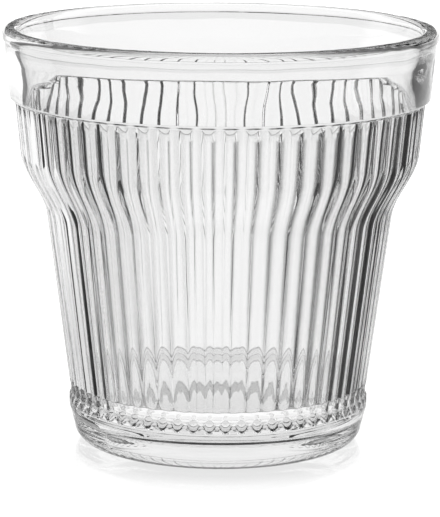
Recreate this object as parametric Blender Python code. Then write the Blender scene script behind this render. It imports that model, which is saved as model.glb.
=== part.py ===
"""Ribbed plastic tumbler, modelled as the single moulding that it is.

The outer wall is a stack of rings: a standing ring around a shallow recess, a foot, a collar,
rounded ribs that swell out over a shoulder, a ledge, a plain band and a rim bead. The inner wall
is smooth. Metres, +Z up, origin at the middle of the face that the tumbler stands on.
"""
import math

import bmesh
import bpy

# Heights of the outer wall's stretches, from the table up
FOOT_HEIGHT = 0.0056
STEP_HEIGHT = 0.0018
COLLAR_HEIGHT = 0.0018
RIB_RUNOUT_HEIGHT = 0.0014
RIB_HEEL_HEIGHT = 0.0024
LOWER_WALL_HEIGHT = 0.0353
SHOULDER_HEIGHT = 0.0135
UPPER_WALL_HEIGHT = 0.0107
RIB_CAP_HEIGHT = 0.0003
LEDGE_HEIGHT = 0.0009
BAND_HEIGHT = 0.0105
BEAD_FLARE_HEIGHT = 0.0012
BEAD_SIDE_HEIGHT = 0.0013

# Outer radii, over the crests of the ribs where there are ribs
FOOT_BOTTOM_RADIUS = 0.03065
FOOT_TOP_RADIUS = 0.03105
COLLAR_RADIUS = 0.03175
SHOULDER_BOTTOM_RADIUS = 0.03640
SHOULDER_TOP_RADIUS = 0.04190
UPPER_WALL_TOP_RADIUS = 0.04295
BAND_BOTTOM_RADIUS = 0.04410
BAND_TOP_RADIUS = 0.04505
BEAD_RADIUS = 0.04550

# Ribs, walls and base
RIB_COUNT = 60
RIB_DEPTH = 0.00075
WALL_THICKNESS = 0.0021
RIM_THICKNESS = 0.0028
RIM_ROUND_RADIUS = 0.0013
FOOT_CORNER_RADIUS = 0.0028
STANDING_RING_WIDTH = 0.00125
RECESS_DEPTH = 0.0050
RECESS_DRAFT = 0.0006
FLOOR_THICKNESS = 0.0070
FLOOR_FILLET_RADIUS = 0.0008

# Fineness of the faceted solid
FACETS_PER_RIB = 4
ROUND_STEPS = 4
SHOULDER_STEPS = 7
STEP_STEPS = 3
RUNOUT_STEPS = 2
SHARP_EDGE_ANGLE = math.radians(30.0)
MERGE_DISTANCE = 1e-7

# Levels that the heights add up to
STEP_TOP = FOOT_HEIGHT + STEP_HEIGHT
COLLAR_TOP = STEP_TOP + COLLAR_HEIGHT
RUNOUT_TOP = COLLAR_TOP + RIB_RUNOUT_HEIGHT
HEEL_TOP = RUNOUT_TOP + RIB_HEEL_HEIGHT
SHOULDER_BOTTOM = HEEL_TOP + LOWER_WALL_HEIGHT
SHOULDER_TOP = SHOULDER_BOTTOM + SHOULDER_HEIGHT
UPPER_WALL_TOP = SHOULDER_TOP + UPPER_WALL_HEIGHT
RIB_CAP_TOP = UPPER_WALL_TOP + RIB_CAP_HEIGHT
LEDGE_TOP = RIB_CAP_TOP + LEDGE_HEIGHT
BAND_TOP = LEDGE_TOP + BAND_HEIGHT
FLARE_TOP = BAND_TOP + BEAD_FLARE_HEIGHT
BEAD_SIDE_TOP = FLARE_TOP + BEAD_SIDE_HEIGHT
FLOOR_TOP = RECESS_DEPTH + FLOOR_THICKNESS

# Slopes of the two straight stretches of ribbed wall
LOWER_SLOPE = (SHOULDER_BOTTOM_RADIUS - COLLAR_RADIUS) / LOWER_WALL_HEIGHT
UPPER_SLOPE = (UPPER_WALL_TOP_RADIUS - SHOULDER_TOP_RADIUS) / UPPER_WALL_HEIGHT


def blend(start, end, share):
    """Value part of the way from start to end."""
    return start + (end - start) * share


def levels(bottom, top, steps):
    """Evenly spaced values from bottom to top, both included."""
    return [blend(bottom, top, step / steps) for step in range(steps + 1)]


def quarter_round(centre_radius, centre_z, size, first_angle, last_angle):
    """(radius, height) points along an arc in the profile's plane."""
    angles = levels(math.radians(first_angle), math.radians(last_angle), ROUND_STEPS)
    return [
        (centre_radius + size * math.cos(angle), centre_z + size * math.sin(angle))
        for angle in angles
    ]


def shoulder_curve(z):
    """Radius and slope of the S between the two straight stretches, which it meets tangentially."""
    t = (z - SHOULDER_BOTTOM) / SHOULDER_HEIGHT
    lower_lift = LOWER_SLOPE * SHOULDER_HEIGHT
    upper_lift = UPPER_SLOPE * SHOULDER_HEIGHT
    rise = SHOULDER_TOP_RADIUS - SHOULDER_BOTTOM_RADIUS
    cubic = lower_lift + upper_lift - 2.0 * rise
    square = 3.0 * rise - 2.0 * lower_lift - upper_lift
    radius = SHOULDER_BOTTOM_RADIUS + t * (lower_lift + t * (square + t * cubic))
    slope = (lower_lift + t * (2.0 * square + t * 3.0 * cubic)) / SHOULDER_HEIGHT
    return radius, slope


def crest_line(z):
    """Radius over the rib crests at a height, and how fast it grows upwards."""
    if z <= HEEL_TOP:
        return COLLAR_RADIUS, 0.0
    if z <= SHOULDER_BOTTOM:
        return COLLAR_RADIUS + LOWER_SLOPE * (z - HEEL_TOP), LOWER_SLOPE
    if z <= SHOULDER_TOP:
        return shoulder_curve(z)
    return SHOULDER_TOP_RADIUS + UPPER_SLOPE * (z - SHOULDER_TOP), UPPER_SLOPE


def inner_radius(z):
    """Radius of the smooth inside, one wall thickness square to the crest line."""
    radius, slope = crest_line(z)
    return radius - WALL_THICKNESS * math.hypot(1.0, slope)


def foot_profile():
    """Points from the recess's ceiling, round the standing ring and up to the collar."""
    corner = min(FOOT_CORNER_RADIUS, FOOT_HEIGHT)
    corner_centre = FOOT_BOTTOM_RADIUS - corner
    ring_inner = corner_centre - STANDING_RING_WIDTH
    points = [(ring_inner - RECESS_DRAFT, RECESS_DEPTH), (ring_inner, 0.0)]
    points += quarter_round(corner_centre, corner, corner, -90.0, 0.0)
    for share in levels(0.0, 1.0, STEP_STEPS):
        eased = share * share * (3.0 - 2.0 * share)
        radius = blend(FOOT_TOP_RADIUS, COLLAR_RADIUS, eased)
        points.append((radius, blend(FOOT_HEIGHT, STEP_TOP, share)))
    return points


def ribbed_profile():
    """(crest radius, height, rib depth) of the ribbed rings, from the collar up to the ledge."""
    rows = []
    for z in levels(COLLAR_TOP, RUNOUT_TOP, RUNOUT_STEPS):
        rows.append((COLLAR_RADIUS, z, RIB_DEPTH * (z - COLLAR_TOP) / RIB_RUNOUT_HEIGHT))
    heights = [HEEL_TOP]
    heights += levels(SHOULDER_BOTTOM, SHOULDER_TOP, SHOULDER_STEPS)
    heights.append(UPPER_WALL_TOP)
    rows += [(crest_line(z)[0], z, RIB_DEPTH) for z in heights]
    rows.append((UPPER_WALL_TOP_RADIUS, RIB_CAP_TOP, 0.0))
    return rows


def rim_profile():
    """Points from the ledge up the band, over the rim and down inside to the floor's edge."""
    points = [(BAND_BOTTOM_RADIUS, LEDGE_TOP), (BAND_TOP_RADIUS, BAND_TOP), (BEAD_RADIUS, FLARE_TOP)]
    bore = BEAD_RADIUS - RIM_THICKNESS
    rounding = min(RIM_ROUND_RADIUS, 0.5 * RIM_THICKNESS)
    points += quarter_round(BEAD_RADIUS - rounding, BEAD_SIDE_TOP, rounding, 0.0, 90.0)
    points += quarter_round(bore + rounding, BEAD_SIDE_TOP, rounding, 90.0, 180.0)
    heights = [UPPER_WALL_TOP]
    heights += levels(SHOULDER_TOP, SHOULDER_BOTTOM, SHOULDER_STEPS)
    heights.append(max(HEEL_TOP, FLOOR_TOP + FLOOR_FILLET_RADIUS))
    points += [(inner_radius(z), z) for z in heights]
    fillet_top = FLOOR_TOP + FLOOR_FILLET_RADIUS
    fillet_centre = inner_radius(fillet_top) - FLOOR_FILLET_RADIUS
    points += quarter_round(fillet_centre, fillet_top, FLOOR_FILLET_RADIUS, 0.0, -90.0)
    return points


def add_ring(mesh, radius, z, depth, columns):
    """Corners around the axis; the ribs draw them in by up to their depth in the valleys."""
    vertices = []
    for column in range(columns):
        turn = column / columns
        across_rib = 2.0 * ((turn * RIB_COUNT) % 1.0) - 1.0
        local_radius = radius - depth * across_rib * across_rib
        angle = 2.0 * math.pi * turn
        position = (local_radius * math.cos(angle), local_radius * math.sin(angle), z)
        vertices.append(mesh.verts.new(position))
    return vertices


def skin_rings(mesh, first, second):
    """Faces between two rings. A finer ring's extra corners fan out from the coarser one's corners."""
    coarse, fine = sorted((first, second), key=len)
    ratio = len(fine) // len(coarse)
    middle = ratio // 2
    for index, corner in enumerate(coarse):
        next_corner = coarse[(index + 1) % len(coarse)]
        run = [fine[(index * ratio + step) % len(fine)] for step in range(ratio + 1)]
        if ratio == 1:
            mesh.faces.new((corner, next_corner, run[1], run[0]))
            continue
        mesh.faces.new((corner, next_corner, run[middle]))
        for step in range(ratio):
            apex = corner if step < middle else next_corner
            mesh.faces.new((apex, run[step + 1], run[step]))


def distinct(points):
    """The points without any that repeats the one before it."""
    kept = []
    for point in points:
        if not kept or math.dist(point, kept[-1]) > MERGE_DISTANCE:
            kept.append(point)
    return kept


def build_tumbler():
    """The one closed body, skinned ring by ring from the recess to the inside floor."""
    mesh = bmesh.new()
    fine = RIB_COUNT * FACETS_PER_RIB
    rings = [add_ring(mesh, r, z, 0.0, RIB_COUNT) for r, z in distinct(foot_profile())]
    rings += [add_ring(mesh, r, z, depth, fine) for r, z, depth in ribbed_profile()]
    rings += [add_ring(mesh, r, z, 0.0, RIB_COUNT) for r, z in distinct(rim_profile())]
    for lower, upper in zip(rings, rings[1:]):
        skin_rings(mesh, lower, upper)
    for end in (rings[0], rings[-1]):
        mesh.faces.new(end)
    bmesh.ops.recalc_face_normals(mesh, faces=mesh.faces)
    data = bpy.data.meshes.new("tumbler_body")
    mesh.to_mesh(data)
    mesh.free()
    data.shade_smooth()
    data.set_sharp_from_angle(angle=SHARP_EDGE_ANGLE)
    return data


def clear_plastic():
    """Glossy water-clear moulded plastic."""
    material = bpy.data.materials.new("clear_plastic")
    material.use_nodes = True
    shader = material.node_tree.nodes["Principled BSDF"]
    shader.inputs["Base Color"].default_value = (0.93, 0.94, 0.94, 1.0)
    shader.inputs["Roughness"].default_value = 0.05
    shader.inputs["Metallic"].default_value = 0.0
    shader.inputs["Transmission Weight"].default_value = 1.0
    shader.inputs["IOR"].default_value = 1.57
    return material


def main():
    for old in list(bpy.data.objects):
        bpy.data.objects.remove(old, do_unlink=True)
    data = build_tumbler()
    data.materials.append(clear_plastic())
    body = bpy.data.objects.new("tumbler_body", data)
    bpy.context.scene.collection.objects.link(body)


main()
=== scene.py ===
# %% [markdown]
# A ribbed tumbler in clear plastic
#
# This lesson dresses one moulded drinking tumbler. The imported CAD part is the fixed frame: it gives
# the box and the place. The visible wall is worked out again here as one closed surface, with the
# small rounds that clear plastic needs, because every round bends light and shows as a line.

# %% Load the frame
import math

import bpy
import numpy as np
from mathutils import Matrix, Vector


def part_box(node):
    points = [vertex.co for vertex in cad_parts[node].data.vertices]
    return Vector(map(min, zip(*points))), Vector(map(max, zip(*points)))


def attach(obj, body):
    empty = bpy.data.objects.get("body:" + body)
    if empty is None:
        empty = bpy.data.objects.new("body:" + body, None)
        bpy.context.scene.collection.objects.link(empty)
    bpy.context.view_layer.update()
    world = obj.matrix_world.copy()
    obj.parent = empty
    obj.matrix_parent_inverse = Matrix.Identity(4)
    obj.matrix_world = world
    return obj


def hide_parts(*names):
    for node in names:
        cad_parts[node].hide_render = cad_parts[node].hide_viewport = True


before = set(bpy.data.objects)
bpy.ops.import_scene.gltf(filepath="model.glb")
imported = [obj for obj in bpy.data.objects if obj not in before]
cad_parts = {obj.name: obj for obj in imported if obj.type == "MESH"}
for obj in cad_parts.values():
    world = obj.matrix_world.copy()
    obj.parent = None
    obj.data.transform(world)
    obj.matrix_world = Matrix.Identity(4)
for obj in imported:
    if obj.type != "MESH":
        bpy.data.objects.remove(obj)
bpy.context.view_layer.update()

box_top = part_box("tumbler_body")[1]
RIM_TOP = box_top.z
BEAD_RADIUS = box_top.x
print("frame nodes:", sorted(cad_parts))
print("height", round(RIM_TOP, 4), "bead radius", round(BEAD_RADIUS, 4))

# %% [markdown]
# The sizes of the wall
#
# The tumbler is one shot of plastic, so its sizes are a run of heights up the outside and the radius
# at each of them, in metres. The outside follows the CAD solid, and the rim's height and radius come from
# the frame. The wall, the floor, the recess, the foot's step and the rim's inside were refined by the
# lines that they draw in clear plastic, which a plain outline can't show. Numbers could be typed where they
# are used. Named once, a change to one of them moves everything that follows from it.

# %% Heights and radii
FOOT_TOP = 0.0048
STEP_TOP = 0.0079
COLLAR_TOP = 0.0087
RUNOUT_MIDDLE = 0.0098
HEEL_TOP = 0.0130
SHOULDER_BOTTOM = 0.0488
SHOULDER_TOP = 0.0618
UPPER_WALL_TOP = 0.0725
LEDGE_TOP = 0.0737
BAND_TOP = 0.0856
FLARE_TOP = 0.0858

FOOT_BOTTOM_RADIUS = 0.03065
FOOT_TOP_RADIUS = 0.03105
COLLAR_RADIUS = 0.03175
SHOULDER_BOTTOM_RADIUS = 0.03640
SHOULDER_TOP_RADIUS = 0.04190
UPPER_WALL_TOP_RADIUS = 0.04295
BAND_BOTTOM_RADIUS = 0.04410
BAND_TOP_RADIUS = 0.04514

RIB_COUNT = 60
RIB_CREST_SHARE = 0.54
RIB_ROUND_SUM = 0.0031
RUNOUT_SWING = 0.00102
RUNOUT_GAP = 0.00024
CREST_DROP = 0.00046
WALL_THICKNESS = 0.0024
INNER_SHIFT = -0.0004
RIM_THICKNESS = 0.0034
RIM_ROUND = 0.0012
BEAD_SIDE_TOP = RIM_TOP - RIM_ROUND
BORE_FLARE = 0.22
BORE_START = 0.0695
FOOT_CORNER = 0.0036
STANDING_RING_WIDTH = 0.00205
STANDING_RING_EDGE = 0.0003
RECESS_DEPTH = 0.0065
RECESS_DRAFT = 0.0012
RECESS_FILLET = 0.0018
FLOOR_TOP = 0.0126
FLOOR_FILLET = 0.0003
print("upright side of the bead:", round(BEAD_SIDE_TOP - FLARE_TOP, 5))

# %% [markdown]
# Curves for the profile
#
# A turned or moulded round shape is drawn as half of its section: straight stretches joined by
# arcs and by soft S curves. A modeller could draw it by hand and bevel the corners. Here each stretch
# is a short function that returns an array of points, so the rounds stay exact at any fineness.


# %% Profile helpers
def ease(share):
    """S curve from 0 to 1: three times the square less twice the cube, flat at both ends."""
    share = np.clip(share, 0.0, 1.0)
    return share * share * (3.0 - 2.0 * share)


def line(start, end, count):
    """Points spaced evenly on a straight line: start plus a growing share of the way to the end."""
    share = np.linspace(0.0, 1.0, count)[:, None]
    return np.asarray(start) * (1.0 - share) + np.asarray(end) * share


def arc(centre_radius, centre_height, size, first, last, count):
    """Points on a circle: centre plus size times the cosine and sine of angles in degrees."""
    angle = np.radians(np.linspace(first, last, count))
    return np.column_stack([centre_radius + size * np.cos(angle), centre_height + size * np.sin(angle)])


def plain(points):
    """Profile rows of radius, height, rib pull and rib lift for a stretch that has no ribs."""
    return np.column_stack([points, np.zeros((len(points), 2))])


print("ease at a quarter:", ease(np.array(0.25)))

# %% [markdown]
# The crest line and the inside
#
# The ribs follow a line that leans out gently, swells over a shoulder and leans out again. Between the
# two straight stretches a cubic curve takes over with the same slopes, as the mould's cutter would.
# The inside is smooth and runs one wall thickness behind that line, measured square to it.


# %% Crest line and inner wall
LOWER_SLOPE = (SHOULDER_BOTTOM_RADIUS - COLLAR_RADIUS) / (SHOULDER_BOTTOM - HEEL_TOP)
UPPER_SLOPE = (UPPER_WALL_TOP_RADIUS - SHOULDER_TOP_RADIUS) / (UPPER_WALL_TOP - SHOULDER_TOP)


def rib_edge_angle(radius):
    """Steepest turn of a rib's flank: its sine is half the rib's width over the sum of both rounds."""
    return np.arcsin(radius * np.pi / RIB_COUNT / RIB_ROUND_SUM)


def rib_depth(radius):
    """Depth of the valleys: the sum of both rounds times one less the cosine of the steepest turn."""
    return RIB_ROUND_SUM * (1.0 - np.cos(rib_edge_angle(radius)))


def crest_radius(height):
    """Radius over the rib crests: two straight lines joined by a cubic with their slopes at its ends."""
    span = SHOULDER_TOP - SHOULDER_BOTTOM
    t = np.clip((height - SHOULDER_BOTTOM) / span, 0.0, 1.0)
    rise = SHOULDER_TOP_RADIUS - SHOULDER_BOTTOM_RADIUS
    low, high = LOWER_SLOPE * span, UPPER_SLOPE * span
    bend = 3.0 * rise - 2.0 * low - high
    swell = SHOULDER_BOTTOM_RADIUS + t * (low + t * (bend + t * (low + high - 2.0 * rise)))
    below = COLLAR_RADIUS + LOWER_SLOPE * np.maximum(height - HEEL_TOP, 0.0)
    above = SHOULDER_TOP_RADIUS + UPPER_SLOPE * (height - SHOULDER_TOP)
    return np.where(height < SHOULDER_BOTTOM, below, np.where(height > SHOULDER_TOP, above, swell))


def inner_radius(height):
    """Radius of the inside: the crest line at a shifted height, less the wall lengthened by its slope."""
    step = 1e-5
    height = height + INNER_SHIFT
    slope = (crest_radius(height + step) - crest_radius(height - step)) / (2.0 * step)
    return crest_radius(height) - WALL_THICKNESS * np.sqrt(1.0 + slope * slope)


print("inside at the shoulder:", np.round(inner_radius(np.array([SHOULDER_BOTTOM, SHOULDER_TOP])), 5))

# %% [markdown]
# The section, stretch by stretch
#
# Each row of the profile holds a radius, a height, and how far the ribs pull the surface in and lift it
# in their valleys. The rows start at the middle of the recess under the foot, go round the outside, over
# the rim and down to the middle of the inside floor, so the surface closes on itself at both ends.


# %% Outside rows
STEP_ROWS, LEDGE_ROWS, SHOULDER_ROWS, ROUND_ROWS = 7, 8, 18, 9
POLE_RADIUS = 0.004
COLLAR_ROUND = 0.0005
RUNOUT_BLEND = 0.14
RUNOUT_SHARES = (-0.14, -0.05, 0.05, 0.14, 0.32, 0.5, 0.68, 0.86, 0.95, 1.05, 1.14)
RIB_START = 0.0115
CREST_DROP_REACH = 0.002
VALLEY_CLOSE_SHARE = 0.6


def foot_rows():
    """Recess, standing ring, foot corner, step and collar, as lines, arcs and one S curve."""
    corner_centre = FOOT_BOTTOM_RADIUS - FOOT_CORNER
    ring_inner = corner_centre - STANDING_RING_WIDTH
    ceiling = ring_inner - RECESS_DRAFT
    edge = STANDING_RING_EDGE
    share = np.linspace(0.0, 1.0, STEP_ROWS)
    step_radius = FOOT_TOP_RADIUS + (COLLAR_RADIUS - FOOT_TOP_RADIUS) * ease(share)
    step_height = FOOT_TOP + (STEP_TOP - FOOT_TOP) * share
    return plain(np.concatenate([
        line((POLE_RADIUS, RECESS_DEPTH), (ceiling - 2.0 * RECESS_FILLET, RECESS_DEPTH), 3),
        arc(ceiling - RECESS_FILLET, RECESS_DEPTH - RECESS_FILLET, RECESS_FILLET, 90.0, 0.0, 5),
        arc(ring_inner + edge, edge, edge, 180.0, 270.0, 4),
        arc(corner_centre, FOOT_CORNER, FOOT_CORNER, -90.0, 0.0, ROUND_ROWS),
        np.column_stack([step_radius, step_height]),
        line((COLLAR_RADIUS, STEP_TOP + COLLAR_ROUND), (COLLAR_RADIUS, COLLAR_TOP), 2),
    ]))


def soft_ramp(share, blend):
    """Ramp from 0 to 1 whose two corners are rounded by parabolas over the blend on either side."""
    low = np.clip(share + blend, 0.0, 2.0 * blend) ** 2 / (4.0 * blend)
    high = np.clip(1.0 + blend - share, 0.0, 2.0 * blend) ** 2 / (4.0 * blend)
    middle = np.where(share > 0.5, 1.0 - high, low)
    return np.where((share > blend) & (share < 1.0 - blend), share, middle)


def runout_rows():
    """Slanted ends of the valleys: rows that swing down in the valley, then up, round a middle height."""
    share = np.array(RUNOUT_SHARES)
    cut = soft_ramp(share, RUNOUT_BLEND)
    swing = 2.0 * share - 1.0
    radius = COLLAR_RADIUS - CREST_DROP * cut
    pull = rib_depth(COLLAR_RADIUS) * cut
    return np.column_stack([radius, RUNOUT_MIDDLE + RUNOUT_GAP * swing, pull, RUNOUT_SWING * swing])


def rib_rows():
    """Rib crests along the crest line, with valleys of full depth."""
    height = np.concatenate([
        np.linspace(RIB_START, HEEL_TOP, 3),
        np.linspace(HEEL_TOP, SHOULDER_BOTTOM, 7)[1:-1],
        np.linspace(SHOULDER_BOTTOM, SHOULDER_TOP, SHOULDER_ROWS),
        np.linspace(SHOULDER_TOP, UPPER_WALL_TOP, 5)[1:-1],
    ])
    radius = crest_radius(height)
    drop = CREST_DROP * np.clip((HEEL_TOP - height) / CREST_DROP_REACH, 0.0, 1.0)
    return np.column_stack([radius - drop, height, rib_depth(radius), np.zeros_like(height)])


def ledge_rows():
    """S curve out from the rib crests to the band, while the valleys close."""
    share = np.linspace(0.0, 1.0, LEDGE_ROWS)
    radius = UPPER_WALL_TOP_RADIUS + (BAND_BOTTOM_RADIUS - UPPER_WALL_TOP_RADIUS) * ease(share)
    height = UPPER_WALL_TOP + (LEDGE_TOP - UPPER_WALL_TOP) * share
    pull = rib_depth(UPPER_WALL_TOP_RADIUS) * (1.0 - ease(share / VALLEY_CLOSE_SHARE))
    return np.column_stack([radius, height, pull, np.zeros_like(share)])


def rim_rows():
    """Band, flare and bead, and the flat top of the rim between two small rounds."""
    share = np.linspace(0.0, 1.0, 5)
    flare_radius = BAND_TOP_RADIUS + (BEAD_RADIUS - BAND_TOP_RADIUS) * ease(share)
    flare_height = BAND_TOP + (FLARE_TOP - BAND_TOP) * share
    bore = BEAD_RADIUS - RIM_THICKNESS
    band = line((BAND_BOTTOM_RADIUS, LEDGE_TOP), (BAND_TOP_RADIUS, BAND_TOP), 4)[1:-1]
    return plain(np.concatenate([
        band,
        np.column_stack([flare_radius, flare_height]),
        arc(BEAD_RADIUS - RIM_ROUND, BEAD_SIDE_TOP, RIM_ROUND, 0.0, 90.0, ROUND_ROWS),
        arc(bore + RIM_ROUND, BEAD_SIDE_TOP, RIM_ROUND, 90.0, 180.0, ROUND_ROWS),
    ]))


foot_profile = foot_rows()
rib_profile = np.concatenate([runout_rows(), rib_rows(), ledge_rows()])
print("outside rows:", len(foot_profile), "under the ribs,", len(rib_profile), "along them")

# %% Inside rows
BORE_ROWS = 12
FLOOR_EDGE_STEP = 0.002


def bore_rows():
    """Inside of the band: a cubic from below the ledge up to the rim, flaring out as it rises."""
    t = np.linspace(1.0, 0.0, BORE_ROWS)[1:]
    span = BEAD_SIDE_TOP - BORE_START
    foot = inner_radius(np.array(BORE_START))
    rise = BEAD_RADIUS - RIM_THICKNESS - foot
    low, high = UPPER_SLOPE * span, BORE_FLARE * span
    bend = 3.0 * rise - 2.0 * low - high
    radius = foot + t * (low + t * (bend + t * (low + high - 2.0 * rise)))
    return np.column_stack([radius, BORE_START + span * t])


def inside_rows():
    """Smooth inner wall from the rim to the floor, with a small fillet round the floor."""
    shoulder = np.linspace(SHOULDER_TOP, SHOULDER_BOTTOM, SHOULDER_ROWS)
    lower = np.linspace(SHOULDER_BOTTOM, HEEL_TOP + FLOOR_FILLET, 6)[1:]
    upper = np.linspace(BORE_START, SHOULDER_TOP, 4)[1:-1]
    wall_height = np.concatenate([upper, shoulder, lower])
    fillet_top = FLOOR_TOP + FLOOR_FILLET
    floor_edge = inner_radius(np.array(fillet_top)) - FLOOR_FILLET
    return plain(np.concatenate([
        bore_rows(),
        np.column_stack([inner_radius(wall_height), wall_height]),
        arc(floor_edge, fillet_top, FLOOR_FILLET, 0.0, -90.0, 7),
        line((floor_edge - FLOOR_EDGE_STEP, FLOOR_TOP), (POLE_RADIUS, FLOOR_TOP), 3),
    ]))


top_profile = np.concatenate([rim_rows(), inside_rows()])
print("rows over the rim and down the inside:", len(top_profile))

# %% [markdown]
# Turning the section into a wall
#
# Going round the axis, sixty ribs bulge out and sink into narrower valleys. Across one rib the surface is
# an arc over the crest and a smaller hollow arc in the valley, which meet where the flank is steepest. The
# ribbed stretch has fourteen columns to a rib. The plain stretches above and below it use every second
# one, and a row of triangles joins the two. One rib could be modelled and copied round the axis instead,
# but a grid of radius and height over turn and row has no seams to merge afterwards.

# %% Grid of the wall
COLUMNS_PER_RIB = 14
EACH_COLUMN, SECOND_COLUMN = 1, 2


def rib_columns():
    """Turn of each column, and its place across a rib: zero on the crest, one either way in the valley."""
    across = np.linspace(-1.0, 1.0, COLUMNS_PER_RIB, endpoint=False)
    turn = (np.arange(RIB_COUNT)[:, None] + 0.5 + 0.5 * across[None, :]) / RIB_COUNT
    return 2.0 * np.pi * turn.ravel(), np.tile(across, RIB_COUNT)


def valley_share(across, radius):
    """Share of the full depth: an arc's drop over the crest, then the rest of it in a hollow arc."""
    edge = rib_edge_angle(radius)
    crest_size, valley_size = RIB_CREST_SHARE / np.sin(edge), (1.0 - RIB_CREST_SHARE) / np.sin(edge)
    out = np.abs(across)
    full = (1.0 - np.cos(edge)) / np.sin(edge)
    crest = crest_size - np.sqrt(np.maximum(crest_size ** 2 - out ** 2, 0.0))
    hollow = full - valley_size + np.sqrt(np.maximum(valley_size ** 2 - (1.0 - out) ** 2, 0.0))
    return np.where(out < RIB_CREST_SHARE, crest, hollow) / full


def wall_grid(rows, every):
    """Points of every row at every chosen column: radius less pull, and height plus lift, by the valley."""
    turn, across = (part[::every] for part in rib_columns())
    valley = valley_share(across[None, :], rows[:, 0:1])
    radius = rows[:, 0:1] - rows[:, 2:3] * valley
    height = rows[:, 1:2] + rows[:, 3:4] * valley
    return np.stack([radius * np.cos(turn), radius * np.sin(turn), height], axis=-1)


def grid_quads(first, rows, columns):
    """Corner numbers of the quads of one grid whose points start at the given number."""
    here = np.arange(columns)
    after = np.roll(here, -1)
    start = first + (np.arange(rows - 1) * columns)[:, None]
    return np.stack([start + here, start + after, start + columns + after, start + columns + here], axis=-1)


def join_rings(coarse, fine, flip):
    """Three triangles for each coarse step: fine ring of twice as many points beside a coarse one."""
    next_coarse = np.roll(coarse, -1)
    start, middle, end = fine[0::2], fine[1::2], np.roll(fine[0::2], -1)
    sides = np.concatenate([
        np.stack([coarse, middle, start], axis=-1),
        np.stack([coarse, next_coarse, middle], axis=-1),
        np.stack([next_coarse, end, middle], axis=-1),
    ])
    return sides[:, ::-1] if flip else sides


def closed_mesh(name, foot, ribs, top):
    """One closed mesh from three grids: quads, two joining rows, and a fan of triangles at each pole."""
    grids = (foot, ribs, top)
    sizes = [grid.shape[0] * grid.shape[1] for grid in grids]
    first = np.concatenate([[0], np.cumsum(sizes)])
    poles = np.array([[0.0, 0.0, foot[0, 0, 2]], [0.0, 0.0, top[-1, 0, 2]]])
    points = np.concatenate([grid.reshape(-1, 3) for grid in grids] + [poles])
    quads = np.concatenate([
        grid_quads(start, *grid.shape[:2]).reshape(-1, 4) for start, grid in zip(first, grids)
    ])
    foot_end = first[1] - foot.shape[1] + np.arange(foot.shape[1])
    rib_start = first[1] + np.arange(ribs.shape[1])
    rib_end = first[2] - ribs.shape[1] + np.arange(ribs.shape[1])
    top_start = first[2] + np.arange(top.shape[1])
    foot_start = np.arange(foot.shape[1])
    top_end = first[3] - top.shape[1] + np.arange(top.shape[1])
    fans = np.concatenate([
        join_rings(foot_end, rib_start, False),
        join_rings(top_start, rib_end, True),
        np.stack([np.full(len(foot_start), first[3]), np.roll(foot_start, -1), foot_start], axis=-1),
        np.stack([np.full(len(top_end), first[3] + 1), top_end, np.roll(top_end, -1)], axis=-1),
    ])
    corners = np.concatenate([quads.ravel(), fans.ravel()])
    counts = np.concatenate([np.full(len(quads), 4), np.full(len(fans), 3)])
    mesh = bpy.data.meshes.new(name)
    mesh.vertices.add(len(points))
    mesh.vertices.foreach_set("co", points.ravel())
    mesh.loops.add(len(corners))
    mesh.loops.foreach_set("vertex_index", corners.astype(np.int32))
    mesh.polygons.add(len(counts))
    mesh.polygons.foreach_set("loop_start", (np.cumsum(counts) - counts).astype(np.int32))
    mesh.update(calc_edges=True)
    mesh.validate()
    mesh.shade_smooth()
    return mesh


wall_mesh = closed_mesh(
    "tumbler_wall",
    wall_grid(foot_profile, SECOND_COLUMN),
    wall_grid(rib_profile, EACH_COLUMN),
    wall_grid(top_profile, SECOND_COLUMN),
)
tumbler = bpy.data.objects.new("tumbler_wall", wall_mesh)
bpy.context.scene.collection.objects.link(tumbler)
wall_mesh.calc_loop_triangles()
print("triangles:", len(wall_mesh.loop_triangles))

# %% [markdown]
# Clear plastic
#
# The moulding is water-clear and glossy. Light bends at each face by the plastic's index, a little over
# glass's. A used tumbler is never perfect: fine haze lies in patches, the ring it stands on and the rim
# are scuffed, and the faces are a little uneven from the flow of the melt, most of all in the thick band.
# A painted map could carry this, but noise in Object coordinates has no seam and sits on both faces.

# %% Node helpers
def node_math(nodes, links, operation, first, second):
    """Sum, product or other arithmetic of a node value with a second value or a plain number."""
    step = nodes.new("ShaderNodeMath")
    step.operation = operation
    links.new(first, step.inputs[0])
    if isinstance(second, float):
        step.inputs[1].default_value = second
    else:
        links.new(second, step.inputs[1])
    return step.outputs["Value"]


def node_ramp(nodes, links, source, start, end, low, high):
    """Straight ramp of a node value from low at start to high at end, held level outside them."""
    ramp = nodes.new("ShaderNodeMapRange")
    ramp.inputs["From Min"].default_value = start
    ramp.inputs["From Max"].default_value = end
    ramp.inputs["To Min"].default_value = low
    ramp.inputs["To Max"].default_value = high
    links.new(source, ramp.inputs["Value"])
    return ramp.outputs["Result"]


def node_noise(nodes, links, place, scale, detail):
    """Cloudy value between 0 and 1: smooth noise with the given number of patches to a metre."""
    noise = nodes.new("ShaderNodeTexNoise")
    noise.inputs["Scale"].default_value = scale
    noise.inputs["Detail"].default_value = detail
    links.new(place, noise.inputs["Vector"])
    return noise.outputs["Fac"]


print("node helpers: arithmetic, ramp and noise")

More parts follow.
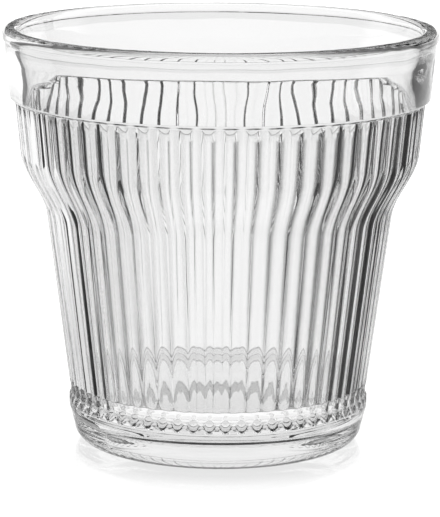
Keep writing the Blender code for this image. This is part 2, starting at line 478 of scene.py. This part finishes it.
# %% Clear plastic
WHITE = (1.0, 1.0, 1.0, 1.0)
PLASTIC_INDEX = 1.59
HAZE_PATCHES, HAZE_DETAIL = 90.0, 3.0
HAZE_START, HAZE_FULL, HAZE_MOST = 0.50, 0.75, 0.03
SCUFF_PATCHES, SCUFF_DETAIL = 2200.0, 2.0
SCUFF_START, SCUFF_FULL, SCUFF_MOST = 0.45, 0.70, 0.22
RING_WEAR_TOP = 0.0012
RIM_WEAR_START = 0.0874
RIM_WEAR_SHARE = 0.5
FLOW_PATCHES, FLOW_DETAIL = 55.0, 1.0
FLOW_MIDDLE = 0.5
FLOW_HEIGHT = 0.00005
BAND_FLOW_FULL = 0.0800
BAND_FLOW_HEIGHT = 0.0006


def clear_plastic():
    """Clear moulded plastic: haze in patches, scuffs where it is stood and drunk from, uneven flow."""
    material = bpy.data.materials.new("clear_plastic")
    material.use_nodes = True
    nodes, links = material.node_tree.nodes, material.node_tree.links
    shader = nodes["Principled BSDF"]
    shader.inputs["Base Color"].default_value = WHITE
    shader.inputs["IOR"].default_value = PLASTIC_INDEX
    shader.inputs["Transmission Weight"].default_value = 1.0
    place = nodes.new("ShaderNodeTexCoord").outputs["Object"]
    parts = nodes.new("ShaderNodeSeparateXYZ")
    links.new(place, parts.inputs["Vector"])
    up = parts.outputs["Z"]
    cloud = node_noise(nodes, links, place, HAZE_PATCHES, HAZE_DETAIL)
    haze = node_ramp(nodes, links, cloud, HAZE_START, HAZE_FULL, 0.0, HAZE_MOST)
    specks = node_noise(nodes, links, place, SCUFF_PATCHES, SCUFF_DETAIL)
    scuff = node_ramp(nodes, links, specks, SCUFF_START, SCUFF_FULL, 0.0, SCUFF_MOST)
    ring = node_ramp(nodes, links, up, 0.0, RING_WEAR_TOP, 1.0, 0.0)
    rim = node_ramp(nodes, links, up, RIM_WEAR_START, RIM_TOP, 0.0, RIM_WEAR_SHARE)
    worn = node_math(nodes, links, "MULTIPLY", scuff, node_math(nodes, links, "ADD", ring, rim))
    links.new(node_math(nodes, links, "ADD", haze, worn), shader.inputs["Roughness"])
    waves = node_noise(nodes, links, place, FLOW_PATCHES, FLOW_DETAIL)
    flow = node_math(nodes, links, "SUBTRACT", waves, FLOW_MIDDLE)
    depth = node_ramp(nodes, links, up, LEDGE_TOP, BAND_FLOW_FULL, FLOW_HEIGHT, BAND_FLOW_HEIGHT)
    bump = nodes.new("ShaderNodeBump")
    bump.inputs["Distance"].default_value = 1.0
    links.new(node_math(nodes, links, "MULTIPLY", flow, depth), bump.inputs["Height"])
    links.new(bump.outputs["Normal"], shader.inputs["Normal"])
    return material


wall_mesh.materials.append(clear_plastic())
print("plastic index", PLASTIC_INDEX, "haze up to", HAZE_MOST, "scuffs up to", SCUFF_MOST)

# %% [markdown]
# Which light sees the dark
#
# Clear ware is photographed against the light, with white behind and black cards just out of the picture,
# and the ribs gather the black into lines. A photographer moves cards about until the lines sit well. Here
# a light path node does part of that work: light mirrored inside the plastic, light that only passed
# through it, and the sheen on its outer faces can each be given their own darks. The cards stay open to
# everything else, so the tumbler is clear from the other sides too.

# %% Kinds of light
HALF_BOUNCE = 0.5


def light_kinds(nodes, links):
    """Marks of one or nought: whether a count is over half a bounce, and products of such marks."""
    path = nodes.new("ShaderNodeLightPath")
    entered = node_math(nodes, links, "GREATER_THAN", path.outputs["Transmission Depth"], HALF_BOUNCE)
    turned = node_math(nodes, links, "GREATER_THAN", path.outputs["Glossy Depth"], HALF_BOUNCE)
    unturned = node_ramp(nodes, links, turned, 0.0, 1.0, 1.0, 0.0)
    outside = node_ramp(nodes, links, entered, 0.0, 1.0, 1.0, 0.0)
    return {
        "entered": entered,
        "mirrored": node_math(nodes, links, "MULTIPLY", entered, turned),
        "straight": node_math(nodes, links, "MULTIPLY", entered, unturned),
        "sheen": node_math(nodes, links, "MULTIPLY", outside, turned),
    }


def stage_material(name):
    """Empty node material of the stage and its output."""
    material = bpy.data.materials.new(name)
    material.use_nodes = True
    nodes, links = material.node_tree.nodes, material.node_tree.links
    nodes.clear()
    return material, nodes, links, nodes.new("ShaderNodeOutputMaterial")


def card(name, corners, material):
    """One flat card of the stage: a single face through the corners."""
    mesh = bpy.data.meshes.new(name)
    mesh.from_pydata(corners, [], [tuple(range(len(corners)))])
    mesh.materials.append(material)
    piece = bpy.data.objects.new(name, mesh)
    bpy.context.scene.collection.objects.link(piece)
    print("stage:", name)


print("kinds of light: entered, mirrored, straight, sheen")

# %% [markdown]
# The table with painted light
#
# The tumbler stands on a white sheet with a faint polish, which mirrors it and fades with distance. A
# glossy floor under a lamp would do this too, but its own shading would grey the white. So the sheet glows
# by itself as painted light, a little brighter for the camera, with painted shade round the foot, and with
# a painted dark front for light mirrored in the plastic.

# %% Table with painted light
TABLE_INDEX = 1.8
TABLE_SHEEN = 0.06
# painted shade: the table in front glows only faintly for light mirrored in the plastic
TABLE_FRONT_SHADE_GLOW = 0.04
FRONT_DARK_FULL, FRONT_DARK_START = -0.075, -0.055
# painted shade: light leaving the plastic sees the table dimmer near the foot than far off
TABLE_SHADED_NEAR_GLOW, TABLE_FAR_GLOW = 0.66, 0.87
FAR_GLOW_START, FAR_GLOW_FULL = 0.05, 0.10
# painted shade: the camera sees the table darker round the foot than far off
TABLE_SEEN_SHADED_NEAR, TABLE_SEEN_FAR = 0.9, 1.15
MIRROR_START, MIRROR_FULL = 0.0262, 0.0275
MIRROR_NEAR, MIRROR_FAR = 0.0330, 0.062
TABLE_HALF = 4.0
TABLE_LEVEL = -0.00002


def painted_glow_table():
    """Painted glow of a white sheet, with painted shade near the foot and in front; near the foot it is
    blended with a mirror that grows at a slant.
    """
    material, nodes, links, out = stage_material("painted_glow_table")
    place = nodes.new("ShaderNodeTexCoord")
    parts = nodes.new("ShaderNodeSeparateXYZ")
    links.new(place.outputs["Object"], parts.inputs["Vector"])
    reach = nodes.new("ShaderNodeVectorMath")
    reach.operation = "LENGTH"
    links.new(place.outputs["Object"], reach.inputs[0])
    outer = node_ramp(nodes, links, reach.outputs["Value"], MIRROR_NEAR, MIRROR_FAR, 1.0, 0.0)
    inner = node_ramp(nodes, links, reach.outputs["Value"], MIRROR_START, MIRROR_FULL, 0.0, 1.0)
    polish = node_math(nodes, links, "MULTIPLY", outer, inner)
    mirrored = light_kinds(nodes, links)["mirrored"]
    # painted shade in front, seen only by light mirrored in the plastic
    ahead = node_ramp(nodes, links, parts.outputs["Y"], FRONT_DARK_FULL, FRONT_DARK_START, 1.0, 0.0)
    dimmed = node_math(nodes, links, "MULTIPLY", ahead, mirrored)
    front = node_ramp(nodes, links, dimmed, 0.0, 1.0, 1.0, TABLE_FRONT_SHADE_GLOW / TABLE_SHADED_NEAR_GLOW)
    depth = node_math(nodes, links, "ABSOLUTE", parts.outputs["Y"], 0.0)
    # painted shade round the foot: the glow rises from the near value to the far value
    back = node_ramp(nodes, links, depth, FAR_GLOW_START, FAR_GLOW_FULL, TABLE_SHADED_NEAR_GLOW, TABLE_FAR_GLOW)
    unseen = node_math(nodes, links, "MULTIPLY", front, back)
    # painted shade for the camera: darker where the polish ring lies round the foot
    seen = node_ramp(nodes, links, outer, 0.0, 1.0, TABLE_SEEN_FAR, TABLE_SEEN_SHADED_NEAR)
    path = nodes.new("ShaderNodeLightPath")
    pick = nodes.new("ShaderNodeMix")
    links.new(path.outputs["Is Camera Ray"], pick.inputs["Factor"])
    links.new(unseen, pick.inputs["A"])
    links.new(seen, pick.inputs["B"])
    light = nodes.new("ShaderNodeEmission")
    links.new(pick.outputs["Result"], light.inputs["Strength"])
    share = nodes.new("ShaderNodeFresnel")
    share.inputs["IOR"].default_value = TABLE_INDEX
    mirror = nodes.new("ShaderNodeBsdfAnisotropic")
    mirror.inputs["Roughness"].default_value = TABLE_SHEEN
    blend = nodes.new("ShaderNodeMixShader")
    links.new(node_math(nodes, links, "MULTIPLY", share.outputs["Fac"], polish), blend.inputs["Fac"])
    links.new(light.outputs["Emission"], blend.inputs[1])
    links.new(mirror.outputs["BSDF"], blend.inputs[2])
    links.new(blend.outputs["Shader"], out.inputs["Surface"])
    return material


card("painted_glow_table", [
    (-TABLE_HALF, -TABLE_HALF, TABLE_LEVEL), (TABLE_HALF, -TABLE_HALF, TABLE_LEVEL),
    (TABLE_HALF, TABLE_HALF, TABLE_LEVEL), (-TABLE_HALF, TABLE_HALF, TABLE_LEVEL),
], painted_glow_table())
print("table glow", TABLE_SHADED_NEAR_GLOW, "to", TABLE_FAR_GLOW)

# %% [markdown]
# Black cards
#
# Two long cards stand close to the sides and reach to the front, for light mirrored in the ribs. Two short
# ones and a low grey flag serve light that only passes through, and only at a slant. A flag behind, above
# the picture, darkens the sheen on top of the rim. Lamps with barn doors could cut such edges as well, but
# a card's edge can be placed to the millimetre.

# %% Black cards
CARD_TOP = 0.30
CARD_FRONT = -0.13
LEFT_CARD_X, RIGHT_CARD_X = -0.056, 0.058
LEFT_CARD_BACK, RIGHT_CARD_BACK = 0.001, 0.0975
CARD_GLOW = 0.0
SHORT_FRONT = -0.02
LEFT_SHORT_BACK, RIGHT_SHORT_BACK = 0.017, 0.046
SHORT_TOP, SHORT_GLOW = 0.066, 0.02
FLAG_BACK, FLAG_TOP, FLAG_GLOW = 0.105, 0.05, 0.25
CARD_STEP = 0.0005
CARD_SLANT_START, CARD_SLANT_FULL = 0.03, 0.08
BACK_FLAG_GLOW = 0.0
BACK_FLAG_HALF, BACK_FLAG_Y = 0.5, 0.30
BACK_FLAG_BOTTOM, BACK_FLAG_TOP = 0.11, 0.40


def dark_material(name, glow, kind):
    """Dark to one kind of light, open to all other light; light that passed through must slant."""
    material, nodes, links, out = stage_material(name)
    dark = nodes.new("ShaderNodeEmission")
    dark.inputs["Strength"].default_value = glow
    gap = nodes.new("ShaderNodeBsdfTransparent")
    blend = nodes.new("ShaderNodeMixShader")
    mark = light_kinds(nodes, links)[kind]
    if kind == "straight":
        facing = nodes.new("ShaderNodeLayerWeight").outputs["Facing"]
        slant = node_ramp(nodes, links, facing, CARD_SLANT_START, CARD_SLANT_FULL, 0.0, 1.0)
        mark = node_math(nodes, links, "MULTIPLY", mark, slant)
    links.new(mark, blend.inputs["Fac"])
    links.new(gap.outputs["BSDF"], blend.inputs[1])
    links.new(dark.outputs["Emission"], blend.inputs[2])
    links.new(blend.outputs["Shader"], out.inputs["Surface"])
    return material


def side_card(name, x, front, back, top, material):
    """Upright card in a plane of constant x."""
    card(name, [(x, front, 0.0), (x, back, 0.0), (x, back, top), (x, front, top)], material)


left_short_x, right_short_x = LEFT_CARD_X - CARD_STEP, RIGHT_CARD_X + CARD_STEP
long_dark = dark_material("long_card", CARD_GLOW, "mirrored")
short_dark = dark_material("short_card", SHORT_GLOW, "straight")
flag_dark = dark_material("flag_card", FLAG_GLOW, "straight")
side_card("left_long_card", LEFT_CARD_X, CARD_FRONT, LEFT_CARD_BACK, CARD_TOP, long_dark)
side_card("right_long_card", RIGHT_CARD_X, CARD_FRONT, RIGHT_CARD_BACK, CARD_TOP, long_dark)
side_card("left_short_card", left_short_x, SHORT_FRONT, LEFT_SHORT_BACK, SHORT_TOP, short_dark)
side_card("right_short_card", right_short_x, SHORT_FRONT, RIGHT_SHORT_BACK, SHORT_TOP, short_dark)
side_card("right_flag", right_short_x, RIGHT_SHORT_BACK, FLAG_BACK, FLAG_TOP, flag_dark)
card("back_flag", [
    (-BACK_FLAG_HALF, BACK_FLAG_Y, BACK_FLAG_BOTTOM), (BACK_FLAG_HALF, BACK_FLAG_Y, BACK_FLAG_BOTTOM),
    (BACK_FLAG_HALF, BACK_FLAG_Y, BACK_FLAG_TOP), (-BACK_FLAG_HALF, BACK_FLAG_Y, BACK_FLAG_TOP),
], dark_material("back_flag", BACK_FLAG_GLOW, "sheen"))

# %% [markdown]
# White and dark of the room
#
# The room is white all round, as a tent of cloth would be. Light that came through the plastic sees it a
# little dimmer and dark overhead, light mirrored inside sees the dark studio in front, and the sheen sees
# that front dimly. Lamps could light the tent, but each would leave a hard spot on the glossy faces, so
# one world shader does it all.

# %% White and dark of the room
ROOM_GLOW = 0.77
ROOM_DARK = 0.0
ROOM_SEEN = 1.1
ROOM_SHEEN = 0.25
CEILING_START, CEILING_FULL = 0.50, 0.70
AHEAD_FULL, AHEAD_END = -0.05, 0.15


def room():
    """White all round; dark overhead for light that entered, and in front for light mirrored inside."""
    world = bpy.data.worlds.new("studio_room")
    world.use_nodes = True
    nodes, links = world.node_tree.nodes, world.node_tree.links
    place = nodes.new("ShaderNodeTexCoord")
    parts = nodes.new("ShaderNodeSeparateXYZ")
    links.new(place.outputs["Generated"], parts.inputs["Vector"])
    kinds = light_kinds(nodes, links)
    ahead = node_ramp(nodes, links, parts.outputs["Y"], AHEAD_FULL, AHEAD_END, 1.0, 0.0)
    below = node_ramp(nodes, links, parts.outputs["Z"], CEILING_START, CEILING_FULL, 1.0, 0.0)
    front_mirrored = node_math(nodes, links, "MULTIPLY", ahead, kinds["mirrored"])
    front_sheen = node_math(nodes, links, "MULTIPLY", ahead, kinds["sheen"])
    walls = node_ramp(nodes, links, front_mirrored, 0.0, 1.0, ROOM_GLOW, ROOM_DARK)
    pick = nodes.new("ShaderNodeMix")
    links.new(kinds["entered"], pick.inputs["Factor"])
    links.new(node_ramp(nodes, links, front_sheen, 0.0, 1.0, ROOM_SEEN, ROOM_SHEEN), pick.inputs["A"])
    links.new(node_math(nodes, links, "MULTIPLY", walls, below), pick.inputs["B"])
    light = nodes["Background"]
    light.inputs["Color"].default_value = WHITE
    links.new(pick.outputs["Result"], light.inputs["Strength"])
    return world


bpy.context.scene.world = room()
print("room glow", ROOM_GLOW)

# %% [markdown]
# The camera
#
# The photograph was taken from a little above, from about seven times the tumbler's height away. Distance,
# tilt and focal length could be set by eye. They were found by fitting the rims and the foot as circles
# seen in perspective. Enough bounces are allowed for light to cross both walls, with mirroring in each.

# %% Camera
CAMERA_DISTANCE = 0.600
CAMERA_HEIGHT = 0.1604
CAMERA_PITCH = math.radians(11.48)
CAMERA_TURN = math.radians(3.15)
CAMERA_ROLL = math.radians(0.42)
FOCAL_PIXELS = 2888.0
IMAGE_HEIGHT = 517
SENSOR = 36.0
SHIFT_RIGHT_PIXELS = 1.0
LIGHT_BOUNCES = 24

camera_data = bpy.data.cameras.new("photo_camera")
camera_data.sensor_fit = "AUTO"
camera_data.sensor_width = SENSOR
camera_data.lens = FOCAL_PIXELS * SENSOR / IMAGE_HEIGHT
camera_data.shift_x = SHIFT_RIGHT_PIXELS / IMAGE_HEIGHT
camera = bpy.data.objects.new("photo_camera", camera_data)
bpy.context.scene.collection.objects.link(camera)
camera.matrix_world = (
    Matrix.Rotation(CAMERA_TURN, 4, "Z")
    @ Matrix.Translation((0.0, -CAMERA_DISTANCE, CAMERA_HEIGHT))
    @ Matrix.Rotation(math.pi / 2 - CAMERA_PITCH, 4, "X")
    @ Matrix.Rotation(CAMERA_ROLL, 4, "Z")
)
bpy.context.scene.camera = camera
bpy.context.scene.view_settings.view_transform = "Standard"
bpy.context.scene.view_settings.look = "Medium High Contrast"
bpy.context.scene.cycles.max_bounces = LIGHT_BOUNCES
bpy.context.scene.cycles.transmission_bounces = LIGHT_BOUNCES
bpy.context.scene.cycles.glossy_bounces = LIGHT_BOUNCES
print("camera lens", round(camera_data.lens, 2), "mm")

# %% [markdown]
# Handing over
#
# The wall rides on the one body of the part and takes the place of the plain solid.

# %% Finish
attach(tumbler, "root")
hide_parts("tumbler_body")
